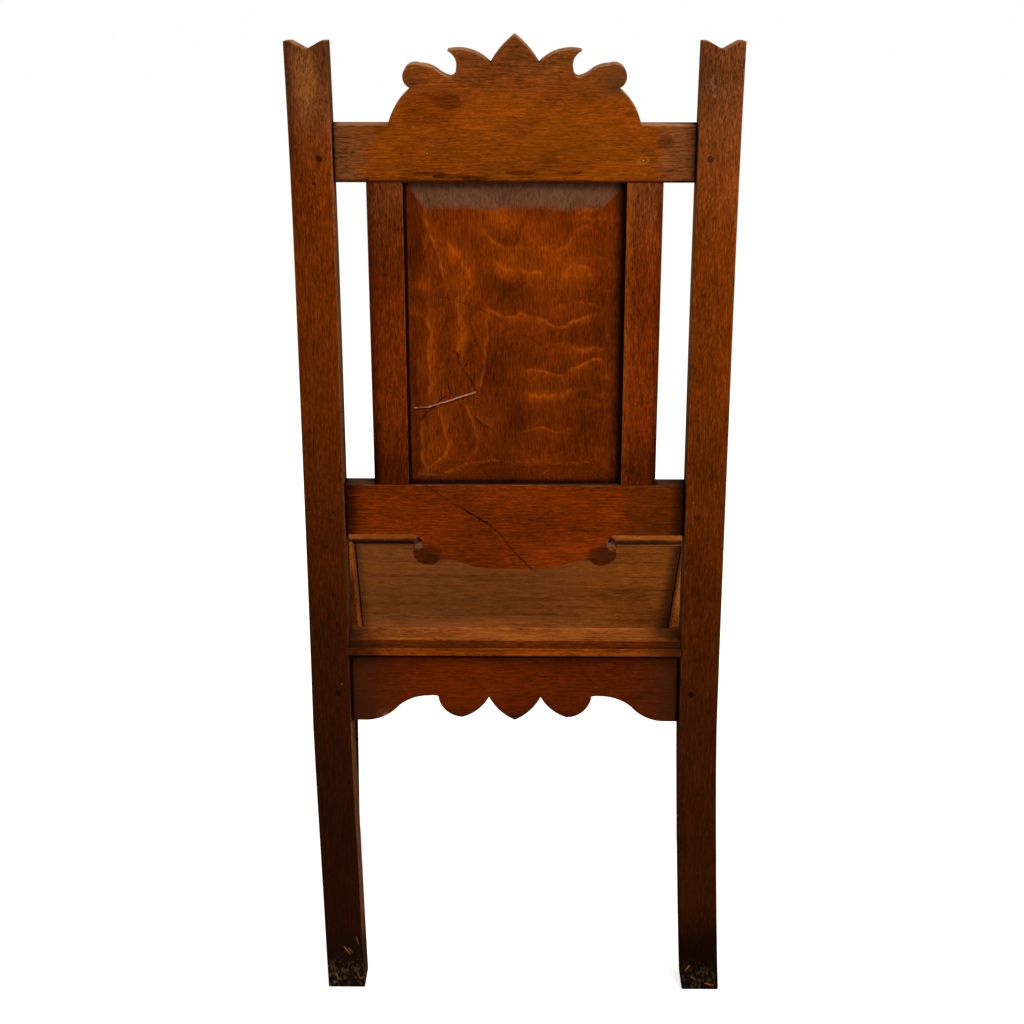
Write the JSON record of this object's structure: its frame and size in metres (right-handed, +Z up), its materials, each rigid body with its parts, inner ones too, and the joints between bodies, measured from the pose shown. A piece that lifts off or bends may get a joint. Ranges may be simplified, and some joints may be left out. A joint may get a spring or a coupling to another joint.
{
  "type": "bardic chair",
  "caption": "Tall-backed oak side chair with a sawn scroll crest, fielded back panel, scalloped aprons and a framed seat whose loose board lifts out.",
  "frame": {"origin": "middle of the space the chair fills, on the floor", "axes": "+Z up; the chair faces -Y, so +Y is its back; +X is the sitter's left"},
  "size_m": [0.576, 0.508, 1.1677],
  "materials": {
    "varnished_oak": "aged varnish, satin",
    "figured_oak": "quarter-sawn oak, aged varnish, satin",
    "seat_oak": "worn, matt",
    "bare_pine": "bare, unfinished",
    "oak_pegs": "end grain, satin",
    "steel_screws": "dull steel"
  },
  "bodies": {
    "chair": {"rear_post_left": "varnished_oak", "rear_post_right": "varnished_oak", "front_leg_left": "varnished_oak", "front_leg_right": "varnished_oak", "crest_rail": "varnished_oak", "lower_back_rail": "varnished_oak", "back_stile_left": "varnished_oak", "back_stile_right": "varnished_oak", "seat_frame_front": "varnished_oak", "seat_frame_rear": "varnished_oak", "seat_frame_left": "varnished_oak", "seat_frame_right": "varnished_oak", "rear_apron": "varnished_oak", "front_apron": "varnished_oak", "side_apron_left": "varnished_oak", "side_apron_right": "varnished_oak", "back_panel": "figured_oak", "seat_ledge_front": "bare_pine", "seat_ledge_rear": "bare_pine", "seat_ledge_left": "bare_pine", "seat_ledge_right": "bare_pine", "corner_block_front_left": "bare_pine", "corner_block_front_right": "bare_pine", "corner_block_rear_left": "bare_pine", "corner_block_rear_right": "bare_pine", "crest_rail_pegs": "oak_pegs", "lower_rail_pegs": "oak_pegs", "rear_apron_pegs": "oak_pegs", "front_leg_pegs": "oak_pegs", "frame_dowels": "oak_pegs", "corner_block_screws": "steel_screws", "ledge_screws": "steel_screws"},
    "loose_seat": {"seat_board": "seat_oak"}
  },
  "joints": [
    {"name": "seat_lift", "type": "slide", "parent": "chair", "child": "loose_seat", "axis": [0, 0, 1], "range_m": [0, 0.06]}
  ]
}
